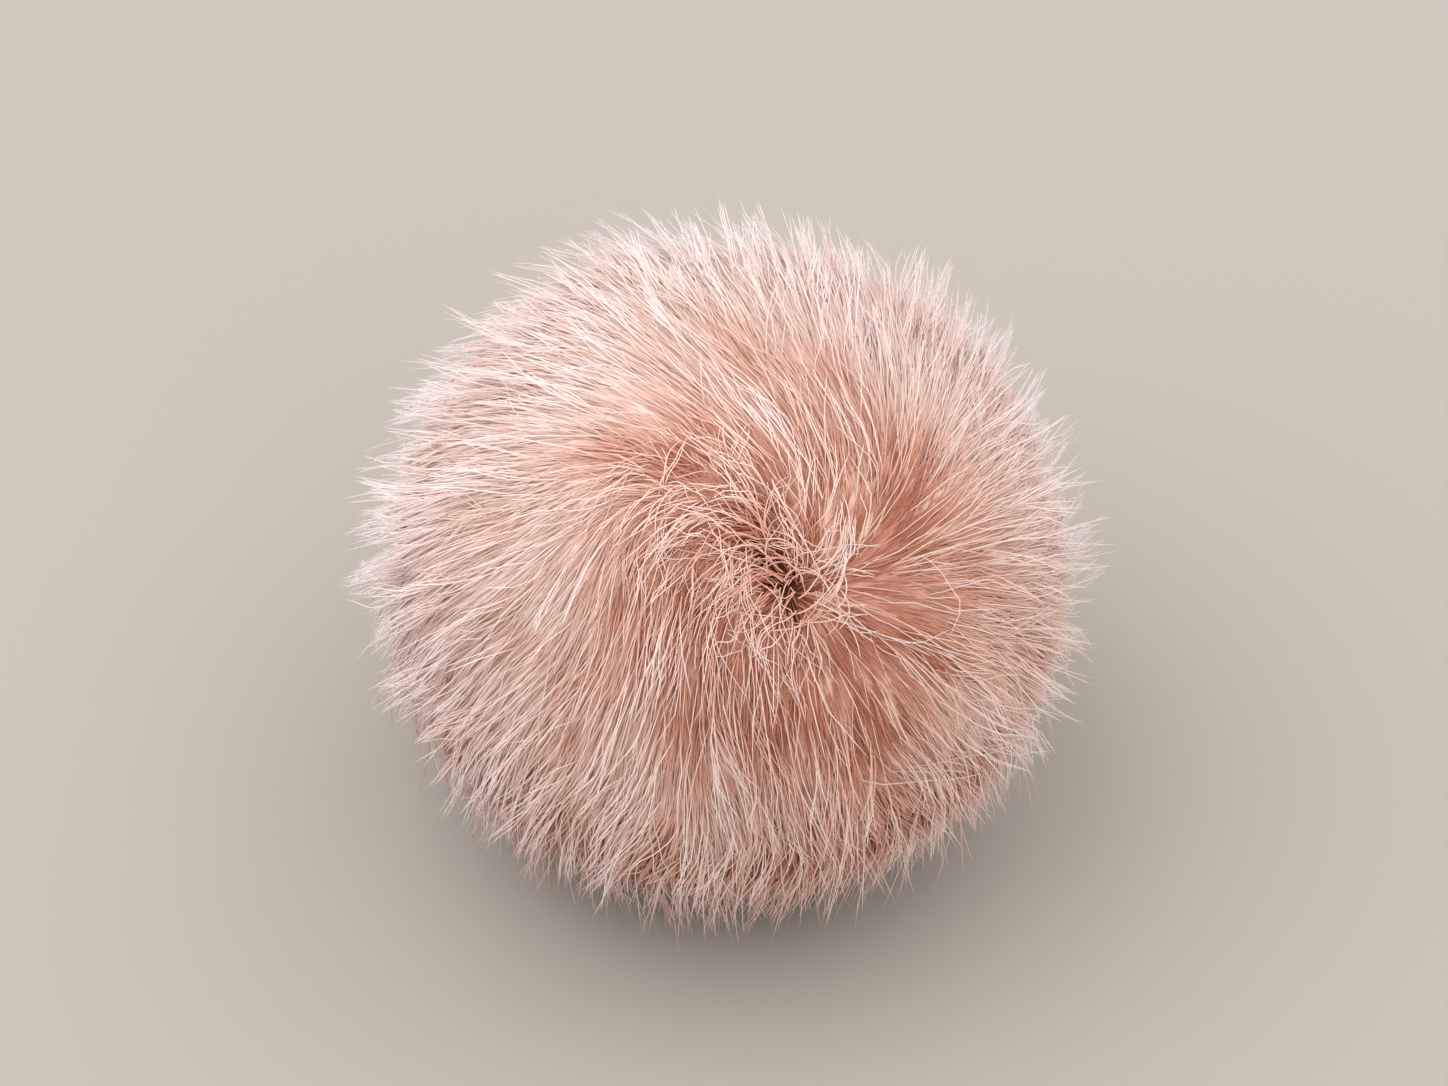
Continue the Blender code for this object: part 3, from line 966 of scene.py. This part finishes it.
def make_undercoat(material, locks):
    """A closed ball a little inside the dense hair, with furrows between the locks."""
    rays = core_rays()
    deep = furrow(rays, locks)
    loose = tangle(rays)
    under = gradual(UNDERSIDE, lowness(rays))
    share = CORE_SHARE - FURROW_DEPTH * deep - TANGLE_DEPTH * loose - UNDERSIDE_DEPTH * under
    points = rays * (dense_radius(rays) * share)[:, None] + CENTRE
    points[:, 2] = np.maximum(points[:, 2], FLOOR_GAP + FLOOR_PILE)
    # Painted light on pale parts, and painted shade in the furrows, low down, in the dips, at the tangle and
    # under the ball
    tone = PALE_AND_PAINTED_LIGHT_GAIN * paleness_with_painted_light(rays) + CORE_TONE - FURROW_PAINTED_SHADE * deep
    tone = tone - LOW_PAINTED_SHADE * gradual(LOWER_PART, lowness(rays)) - DIP_PAINTED_SHADE_AND_LIGHT * sinking(rays)
    tone = tone - TANGLE_PAINTED_SHADE * loose - UNDERSIDE_PAINTED_SHADE * under + streaks(rays)
    mesh = bpy.data.meshes.new("undercoat")
    mesh.from_pydata(points.tolist(), [], core_faces())
    mesh.shade_smooth()
    even_lines, odd_lines, odd_share = comb_places(rays)
    for name, vectors in (("even_lines", even_lines), ("odd_lines", odd_lines)):
        attribute = mesh.attributes.new(name, "FLOAT_VECTOR", "POINT")
        attribute.data.foreach_set("vector", vectors.astype(np.float32).ravel())
    for name, values in (("odd_share", odd_share), ("tone", tone)):
        attribute = mesh.attributes.new(name, "FLOAT", "POINT")
        attribute.data.foreach_set("value", values.astype(np.float32))
    piece = add_piece("undercoat", mesh, material)
    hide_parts("fur_ball")


# --- The coats' colours, and the whole fur -------------------------------------------------------
MIDDLE_PALENESS = 0.5      # hair of this paleness has its coat's own tint
# Painted shade on the hair: it is less pale low on the ball, and darker and rosier in the dips and at the
# tangle
LOW_HAIR_PAINTED_SHADE = Onset(start=-0.10, end=0.30, most=0.50)    # how much less pale hair is, by lowness
DIP_HAIR_PAINTED_SHADE = 26.0           # how much gloomier hair is in a dip as deep as the ball's radius
PAINTED_SHADE_TINT = 0.35          # how much gloom takes off a hair's tint
PAINTED_SHADE_SHIFT = 0.12         # and off its place along its colours
TINT_UNEVENNESS = 0.10
TINT_SPREAD = 0.07


def make_coat(dice, coat, tufts):
    """A coat of hair, in as many pieces as it says."""
    material = hair_material(coat.name)
    for number in range(1, coat.pieces + 1):
        lines, owner = hair_lines(dice, tufts, coat)
        thickness = dice.uniform(*coat.thickness, coat.count)
        roots = tufts.rays[owner]
        middles = unit(tufts.paths[:, SAMPLES // 2])[owner]
        # pale holds painted light, and painted shade low down; the next term is painted shade in the tangle
        # and in the dips
        pale = paleness_with_painted_light(roots) - MIDDLE_PALENESS - gradual(LOW_HAIR_PAINTED_SHADE, lowness(roots))
        painted_shade = tangle(roots) + DIP_HAIR_PAINTED_SHADE * np.maximum(sinking(middles), 0)
        streak = streaks(tufts.rays)[owner]
        tint = coat.tint + coat.fade * pale + TINT_UNEVENNESS * TINT_RIPPLES(roots)
        tint = tint + tufts.tint[owner] + streak - PAINTED_SHADE_TINT * painted_shade
        tint = tint + dice.normal(0, TINT_SPREAD, coat.count)
        shift = coat.shift * pale + streak - PAINTED_SHADE_SHIFT * painted_shade
        name = f"{coat.name}_{number}" if coat.pieces > 1 else coat.name
        places = ring_places(lines, coat.v_range, shift)
        add_piece(name, hair_mesh(name, lines, thickness, tint, places), material)


def make_fur():
    """The undercoat and the coats of hair over it."""
    dice = np.random.default_rng(SEED)
    locks = grow_locks(dice)
    make_undercoat(undercoat_material(), locks)
    make_coat(dice, UNDER_HAIR, grow_tufts(dice, SHORT_TUFTS, locks))
    make_coat(dice, GUARD_HAIR, grow_tufts(dice, TUFTS, locks))
    make_coat(dice, WISP_HAIR, grow_wisps(dice))
    make_coat(dice, FRINGE_HAIR, grow_fringe(dice))
    make_coat(dice, TANGLED_HAIR, grow_tangle(dice))
    make_coat(dice, STRAY_HAIR, grow_strays(dice))


# --- Stage, lights and camera ----------------------------------------------------------------------
FLOOR_HALF = 3.0
FLOOR_COLOUR = (0.37, 0.34, 0.305, 1)
FLOOR_ROUGHNESS = 0.9
FLOOR_SHINE = 0.2

Lamp = namedtuple("Lamp", "name place size power colour")
LAMPS = (
    Lamp("key", place=(-0.39, -0.02, 0.52), size=0.90, power=3.6, colour=(0.98, 0.985, 1.0)),
    Lamp("rim", place=(0.40, 0.22, 0.42), size=0.60, power=1.1, colour=(0.98, 0.985, 1.0)),
    Lamp("fill", place=(0.34, -0.50, 0.42), size=0.60, power=0.9, colour=(1.0, 0.97, 0.95)),
)
WORLD_COLOUR = (1.0, 0.955, 0.92, 1)
WORLD_STRENGTH = 1.10

VIEW_RISE = math.radians(44.0)
VIEW_WIDTH = 0.1485128     # how much the picture shows from left to right, at the ball
AIM_LEFT = 0.0003          # how far the view's middle is off the ball's centre
AIM_ABOVE = 0.0028
LENS = 110.0               # millimetres, like the sensor
SENSOR = 36.0
CLIP_START = 0.01


def make_floor():
    """A plain pale floor."""
    corners = [(x * FLOOR_HALF, y * FLOOR_HALF, 0) for x, y in ((-1, -1), (1, -1), (1, 1), (-1, 1))]
    mesh = bpy.data.meshes.new("floor")
    mesh.from_pydata(corners, [], [(0, 1, 2, 3)])
    material, _, _, surface = new_material("floor", FLOOR_ROUGHNESS, FLOOR_SHINE)
    surface.inputs["Base Color"].default_value = FLOOR_COLOUR
    mesh.materials.append(material)
    floor = bpy.data.objects.new("floor", mesh)
    bpy.context.scene.collection.objects.link(floor)


def add_lamp(lamp):
    """A soft square light, turned towards the ball."""
    data = bpy.data.lights.new(lamp.name, "AREA")
    data.size = lamp.size
    data.energy = lamp.power
    data.color = lamp.colour
    light = bpy.data.objects.new(lamp.name, data)
    light.location = lamp.place
    light.rotation_euler = (Vector(CENTRE) - Vector(lamp.place)).to_track_quat("-Z", "Y").to_euler()
    bpy.context.scene.collection.objects.link(light)


def light_studio():
    """Broad soft light from the upper left, and less from behind and before on the right."""
    for lamp in LAMPS:
        add_lamp(lamp)
    world = bpy.data.worlds.new("studio")
    world.use_nodes = True
    background = world.node_tree.nodes["Background"]
    background.inputs["Color"].default_value = WORLD_COLOUR
    background.inputs["Strength"].default_value = WORLD_STRENGTH
    bpy.context.scene.world = world
    bpy.context.scene.view_settings.view_transform = "Standard"


def place_camera():
    """A long lens in front of the ball, which looks down at it from the photo's angle."""
    data = bpy.data.cameras.new("camera")
    data.lens = LENS
    data.sensor_width = SENSOR
    data.clip_start = CLIP_START
    back = Vector((0, -math.cos(VIEW_RISE), math.sin(VIEW_RISE)))
    above = Vector((0, math.sin(VIEW_RISE), math.cos(VIEW_RISE)))
    aim = Vector(CENTRE) + Vector((-AIM_LEFT, 0, 0)) + above * AIM_ABOVE
    camera = bpy.data.objects.new("camera", data)
    camera.location = aim + back * (VIEW_WIDTH * LENS / SENSOR)
    camera.rotation_euler = (-back).to_track_quat("-Z", "Y").to_euler()
    bpy.context.scene.collection.objects.link(camera)
    bpy.context.scene.camera = camera


make_fur()
make_floor()
light_studio()
place_camera()
